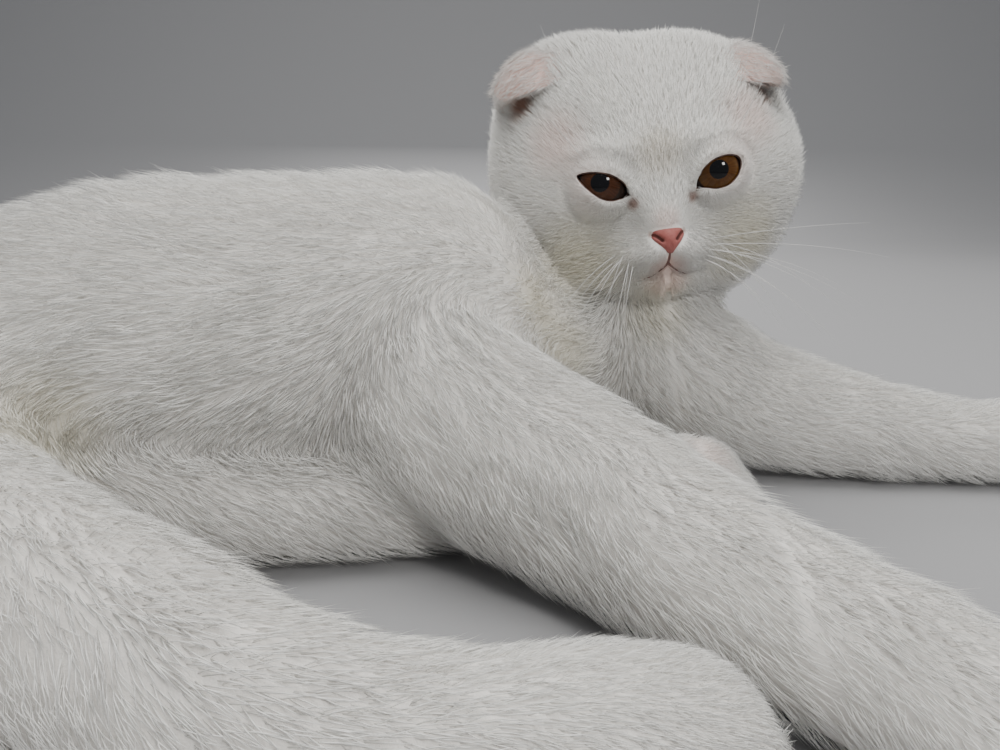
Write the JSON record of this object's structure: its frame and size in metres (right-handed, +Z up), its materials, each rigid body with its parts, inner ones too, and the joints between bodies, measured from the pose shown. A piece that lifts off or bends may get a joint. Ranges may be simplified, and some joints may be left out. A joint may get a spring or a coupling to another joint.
{
  "type": "scottish fold cat",
  "caption": "Life-size white short-haired cat with small folded ears, lying on its side with its head raised and its legs stretched out.",
  "frame": {"origin": "on the floor, on the flat underside of the abdomen, below the middle of the torso", "axes": "+X towards the head end and along the body, +Z up, -Y towards the side that the belly, the legs and the face point to"},
  "size_m": [0.59, 0.307, 0.1727],
  "materials": {
    "coat": "dense short plush white fur",
    "ear": "pink skin under fine thin hair",
    "eye": "wet clear cornea over a copper iris",
    "nose": "moist salmon pink leather"
  },
  "bodies": {
    "root": {"head": "coat", "neck": "coat", "chest": "coat", "abdomen": "coat", "rump": "coat", "tail_root": "coat", "tail_middle": "coat", "tail_tip": "coat", "left_upper_arm": "coat", "left_forearm": "coat", "left_forepaw": "coat", "right_upper_arm": "coat", "right_forearm": "coat", "right_forepaw": "coat", "right_thigh": "coat", "right_shank": "coat", "right_hind_foot": "coat", "left_thigh": "coat", "left_shank": "coat", "left_hind_foot": "coat", "ear_left": "ear", "ear_right": "ear", "eye_left": "eye", "eye_right": "eye", "nose": "nose"}
  },
  "joints": []
}
